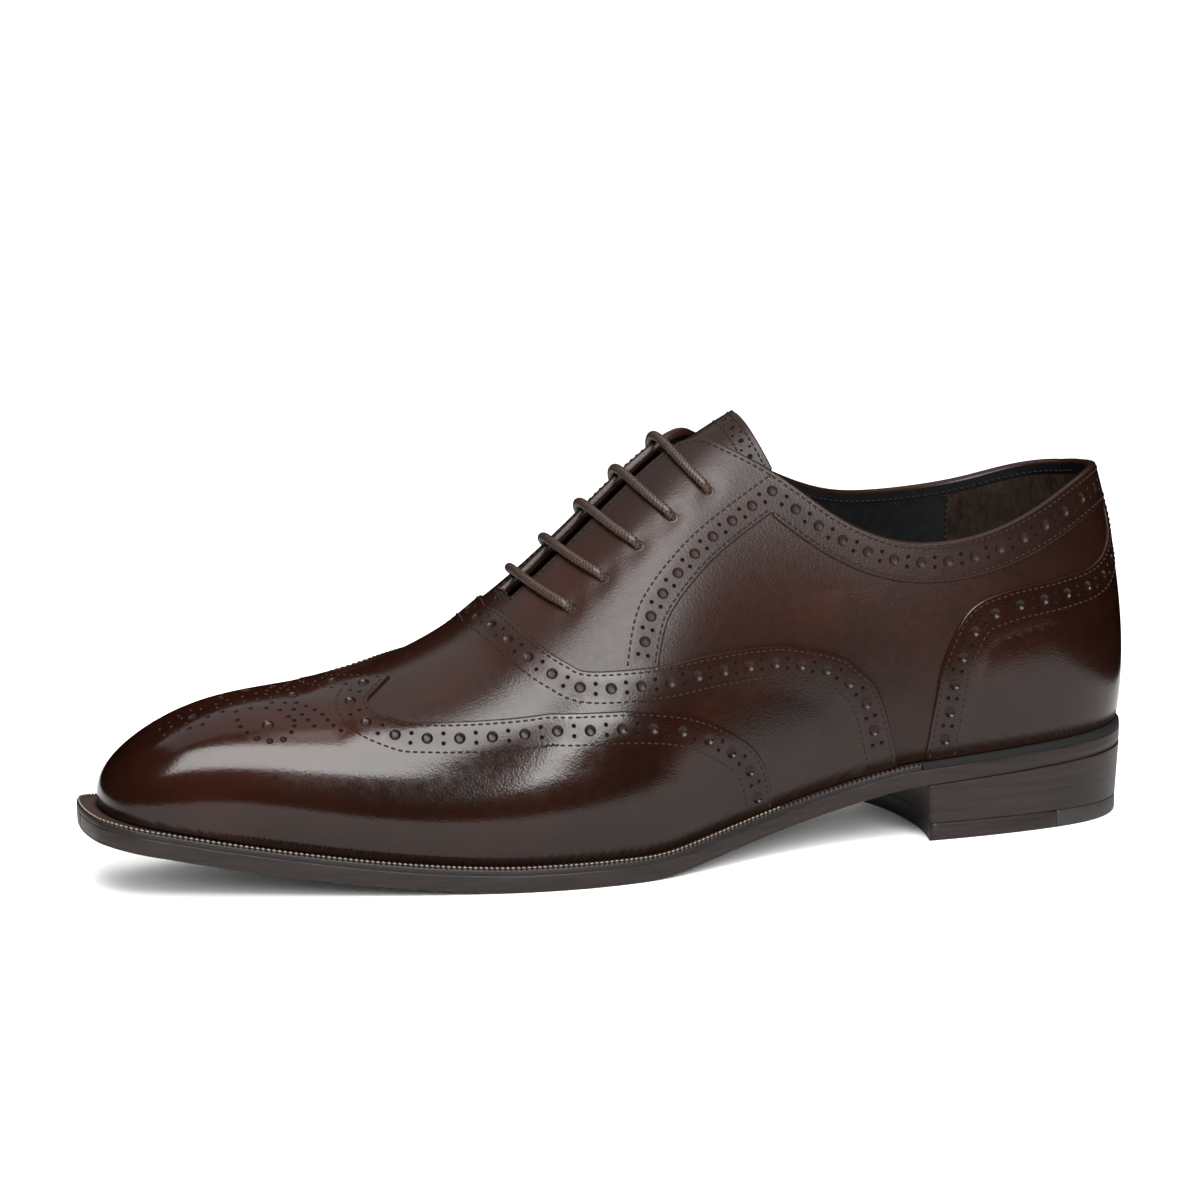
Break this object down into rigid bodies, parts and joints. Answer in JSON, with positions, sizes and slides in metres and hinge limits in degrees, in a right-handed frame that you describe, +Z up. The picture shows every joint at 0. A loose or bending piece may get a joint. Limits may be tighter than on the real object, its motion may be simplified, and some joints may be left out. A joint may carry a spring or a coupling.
{
  "type": "wingtip brogue shoe",
  "caption": "Low lace-up dress shoe with a pointed wing cap, perforated panel edges, a stitched welt and a stacked heel, open at the collar for a foot.",
  "frame": {"origin": "middle of the footprint, on the floor", "axes": "+X from toe to heel, +Y from the lateral side to the medial side, +Z up"},
  "size_m": [0.3086, 0.0946, 0.1228],
  "materials": {
    "calf": "burnished and polished",
    "dark_calf": "polished",
    "sole": "dyed and waxed edge",
    "lining": "matte",
    "rubber": "matte",
    "cord": "waxed braid"
  },
  "bodies": {
    "root": {"outsole": "sole", "welt": "sole", "heel_rand": "dark_calf", "heel_stack": "sole", "top_lift": "sole", "rubber_tip": "rubber", "insole": "lining", "upper": "calf", "wing_cap": "calf", "vamp": "calf", "facing_lateral": "calf", "facing_medial": "calf", "collar_band_lateral": "calf", "collar_band_medial": "calf", "counter": "calf", "tongue": "dark_calf", "lace_bar_1": "cord", "lace_bar_2": "cord", "lace_bar_3": "cord", "lace_bar_4": "cord", "lace_bar_5": "cord"}
  },
  "joints": []
}
